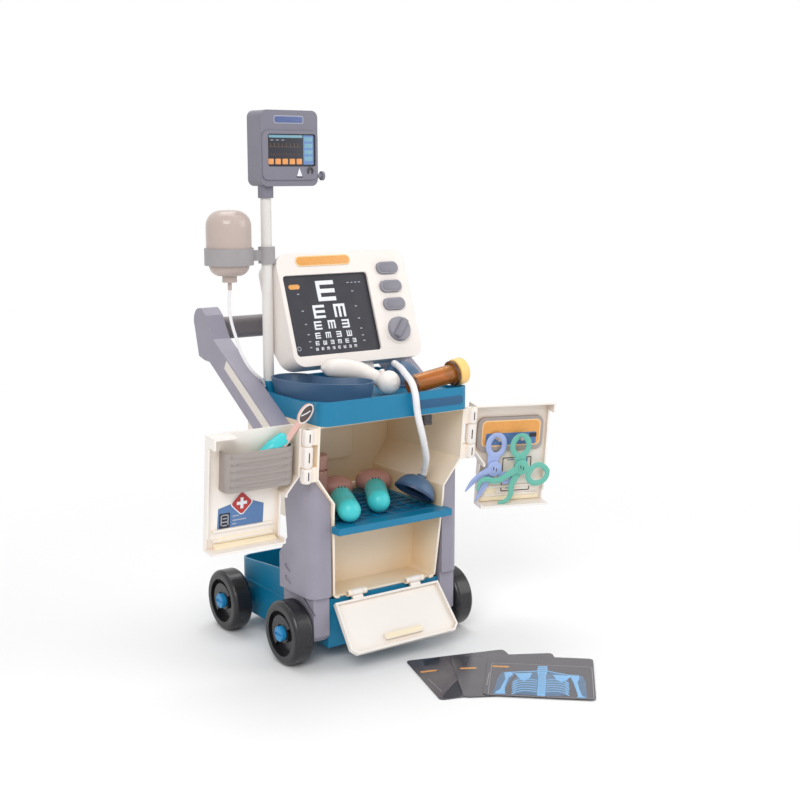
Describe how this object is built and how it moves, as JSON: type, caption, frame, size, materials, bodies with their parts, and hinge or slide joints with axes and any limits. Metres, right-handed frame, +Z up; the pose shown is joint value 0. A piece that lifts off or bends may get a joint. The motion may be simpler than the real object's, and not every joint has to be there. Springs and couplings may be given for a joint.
{
  "type": "toy doctor trolley",
  "caption": "Wheeled toy doctor's trolley: cabinet with hinged doors and flap, tray, tilted picture viewer, monitor on a pole, drip bottle and loose medical play tools",
  "frame": {"origin": "middle of the set's footprint on the floor, with the doors open as in the picture", "axes": "+Z up; the open front of the cabinet faces -Y; +X is the viewer's right"},
  "size_m": [0.5104, 0.5442, 0.703],
  "materials": {
    "teal_plastic": "smooth moulded plastic, soft gloss",
    "cream_plastic": "smooth moulded plastic, soft gloss",
    "grey_plastic": "smooth moulded plastic, satin",
    "monitor_plastic": "smooth moulded plastic, satin",
    "bar_plastic": "satin moulded plastic",
    "wheel_plastic": "hollow blow-moulded wheel, glossy",
    "cap_plastic": "glossy plastic",
    "steel": "plain steel",
    "white_plastic": "glossy plastic",
    "slate_plastic": "soft gloss plastic",
    "turquoise_plastic": "glossy plastic",
    "scissors_plastic": "glossy plastic",
    "forceps_plastic": "glossy plastic",
    "pink_plastic": "glossy plastic",
    "amber_plastic": "clear amber plastic",
    "yellow_plastic": "glossy plastic",
    "drip_plastic": "translucent smoky plastic",
    "film_sheet": "thin printed sheet",
    "pocket_plastic": "ribbed soft plastic",
    "taupe_plastic": "satin plastic",
    "tube_plastic": "soft vinyl tube",
    "key_plastic": "satin plastic",
    "lit_panel": "white diffuser",
    "catch_plastic": "dark plastic",
    "pill_plastic": "glossy plastic"
  },
  "bodies": {
    "cart": {"chassis": "teal_plastic", "left_leg": "grey_plastic", "right_leg": "grey_plastic", "front_axle": "steel", "rear_axle": "steel", "hub_caps": "cap_plastic", "cabinet_shell": "cream_plastic", "cabinet_back": "cream_plastic", "shelf": "teal_plastic", "door_catch": "catch_plastic", "hinge_pins": "steel", "tray": "teal_plastic", "left_handle_arm": "grey_plastic", "right_handle_arm": "grey_plastic", "handle_bar": "bar_plastic", "arm_screws": "steel", "pole": "white_plastic", "drip_bracket": "monitor_plastic", "drip_bottle": "drip_plastic", "drip_tube": "tube_plastic", "viewer_rear": "cream_plastic", "viewer_bezel": "cream_plastic", "viewer_panel": "lit_panel", "viewer_foot": "cream_plastic", "battery_cover": "cream_plastic", "bulb": "slate_plastic", "mask_hose": "tube_plastic", "mask": "slate_plastic"},
    "front_left_wheel_body": {"front_left_wheel": "wheel_plastic"},
    "front_right_wheel_body": {"front_right_wheel": "wheel_plastic"},
    "rear_left_wheel_body": {"rear_left_wheel": "wheel_plastic"},
    "rear_right_wheel_body": {"rear_right_wheel": "wheel_plastic"},
    "left_door_body": {"left_door": "cream_plastic", "door_pocket": "pocket_plastic"},
    "right_door_body": {"right_door": "cream_plastic", "hanger_plate": "taupe_plastic"},
    "flap_body": {"flap": "cream_plastic"},
    "upper_button_body": {"upper_button": "key_plastic"},
    "middle_button_body": {"middle_button": "key_plastic"},
    "lower_button_body": {"lower_button": "key_plastic"},
    "knob_body": {"viewer_knob": "key_plastic"},
    "chart_film_body": {"chart_film": "film_sheet"},
    "monitor_body": {"monitor_rear": "monitor_plastic", "monitor_front": "monitor_plastic", "monitor_peg": "monitor_plastic"},
    "scissors_body": {"scissors_fixed_half": "scissors_plastic"},
    "scissors_free_body": {"scissors_free_half": "scissors_plastic"},
    "forceps_body": {"forceps_fixed_half": "forceps_plastic"},
    "forceps_free_body": {"forceps_free_half": "forceps_plastic"},
    "hand_mirror_body": {"hand_mirror": "pink_plastic"},
    "syringe_body": {"syringe": "turquoise_plastic"},
    "dish_body": {"kidney_dish": "slate_plastic"},
    "probe_body": {"probe": "white_plastic"},
    "amber_bottle_body": {"amber_bottle": "amber_plastic"},
    "amber_cap_body": {"amber_cap": "yellow_plastic"},
    "mallets_body": {"mallets": "turquoise_plastic"},
    "pill_bottle_body": {"pill_bottle": "pill_plastic"},
    "left_film_body": {"left_film": "film_sheet"},
    "middle_film_body": {"middle_film": "film_sheet"},
    "right_film_body": {"right_film": "film_sheet"}
  },
  "joints": [
    {"name": "front_left_wheel_spin", "type": "hinge", "parent": "cart", "child": "front_left_wheel_body", "pos_m": [-0.129, 0.047, 0.042], "axis": [1, 0, 0], "continuous": true},
    {"name": "front_right_wheel_spin", "type": "hinge", "parent": "cart", "child": "front_right_wheel_body", "pos_m": [0.127, 0.047, 0.042], "axis": [1, 0, 0], "continuous": true},
    {"name": "rear_left_wheel_spin", "type": "hinge", "parent": "cart", "child": "rear_left_wheel_body", "pos_m": [-0.129, 0.208, 0.042], "axis": [1, 0, 0], "continuous": true},
    {"name": "rear_right_wheel_spin", "type": "hinge", "parent": "cart", "child": "rear_right_wheel_body", "pos_m": [0.127, 0.208, 0.042], "axis": [1, 0, 0], "continuous": true},
    {"name": "left_door_hinge", "type": "hinge", "parent": "cart", "child": "left_door_body", "pos_m": [-0.129, -0.00455, 0.317], "axis": [0, -0.0924, 0.9957], "range_deg": [0, 180]},
    {"name": "right_door_hinge", "type": "hinge", "parent": "cart", "child": "right_door_body", "pos_m": [0.127, -0.00455, 0.317], "axis": [0, 0.0924, -0.9957], "range_deg": [0, 165], "deforming": ["mask_hose"]},
    {"name": "flap_hinge", "type": "hinge", "parent": "cart", "child": "flap_body", "pos_m": [-0.001, 0.014, 0.089], "axis": [-1, 0, 0], "range_deg": [0, 135]},
    {"name": "upper_button_press", "type": "slide", "parent": "cart", "child": "upper_button_body", "axis": [0, 0.9397, -0.342], "range_m": [0, 0.002], "stiffness_N_per_m": 150, "springref_m": -0.001},
    {"name": "middle_button_press", "type": "slide", "parent": "cart", "child": "middle_button_body", "axis": [0, 0.9397, -0.342], "range_m": [0, 0.002], "stiffness_N_per_m": 150, "springref_m": -0.001},
    {"name": "lower_button_press", "type": "slide", "parent": "cart", "child": "lower_button_body", "axis": [0, 0.9397, -0.342], "range_m": [0, 0.002], "stiffness_N_per_m": 150, "springref_m": -0.001},
    {"name": "knob_turn", "type": "hinge", "parent": "cart", "child": "knob_body", "pos_m": [0.084, 0.10548, 0.41302], "axis": [0, -0.9397, 0.342], "range_deg": [-135, 135]},
    {"name": "chart_film_slide", "type": "slide", "parent": "cart", "child": "chart_film_body", "axis": [0, 0.342, 0.9397], "range_m": [0, 0.14]},
    {"name": "monitor_swivel", "type": "hinge", "parent": "cart", "child": "monitor_body", "pos_m": [-0.096, 0.147, 0.606], "axis": [0, 0, 1], "range_deg": [-120, 120]},
    {"name": "scissors_take_off", "type": "slide", "parent": "right_door_body", "child": "scissors_body", "axis": [0.2588, 0.9618, 0.0892], "range_m": [-0.04, 0]},
    {"name": "scissors_pivot", "type": "hinge", "parent": "scissors_body", "child": "scissors_free_body", "pos_m": [0.17305, 0.00197, 0.22521], "axis": [0.2588, 0.9618, 0.0892], "range_deg": [-20, 12]},
    {"name": "forceps_take_off", "type": "slide", "parent": "scissors_body", "child": "forceps_body", "axis": [0.2588, 0.9618, 0.0892], "range_m": [-0.04, 0]},
    {"name": "forceps_pivot", "type": "hinge", "parent": "forceps_body", "child": "forceps_free_body", "pos_m": [0.20847, -0.013, 0.22784], "axis": [0.2588, 0.9618, 0.0892], "range_deg": [-8, 14]},
    {"name": "hand_mirror_lift", "type": "slide", "parent": "left_door_body", "child": "hand_mirror_body", "axis": [0, 0.0924, -0.9957], "range_m": [-0.07, 0]},
    {"name": "syringe_lift", "type": "slide", "parent": "left_door_body", "child": "syringe_body", "axis": [0, 0.0924, -0.9957], "range_m": [-0.06, 0]},
    {"name": "kidney_dish_lift", "type": "slide", "parent": "cart", "child": "dish_body", "axis": [-0.8403, -0.4851, 0.2419], "range_m": [0, 0.12]},
    {"name": "probe_lift", "type": "slide", "parent": "cart", "child": "probe_body", "axis": [0, -0.5478, 0.8366], "range_m": [0, 0.08]},
    {"name": "amber_bottle_lift", "type": "slide", "parent": "cart", "child": "amber_bottle_body", "axis": [0, 0, 1], "range_m": [0, 0.06]},
    {"name": "amber_cap_pull", "type": "slide", "parent": "amber_bottle_body", "child": "amber_cap_body", "axis": [0.9954, 0, 0.0961], "range_m": [0, 0.03]},
    {"name": "mallets_lift", "type": "slide", "parent": "cart", "child": "mallets_body", "axis": [0, 0, -1], "range_m": [-0.05, 0]},
    {"name": "pill_bottle_lift", "type": "slide", "parent": "cart", "child": "pill_bottle_body", "axis": [0, 0, -1], "range_m": [-0.045, 0]},
    {"name": "left_film_lift", "type": "slide", "parent": "cart", "child": "left_film_body", "axis": [0, 0, 1], "range_m": [0, 0.08]},
    {"name": "middle_film_lift", "type": "slide", "parent": "left_film_body", "child": "middle_film_body", "axis": [0, 0, 1], "range_m": [0, 0.06]},
    {"name": "right_film_lift", "type": "slide", "parent": "middle_film_body", "child": "right_film_body", "axis": [0, 0, 1], "range_m": [0, 0.06]}
  ]
}
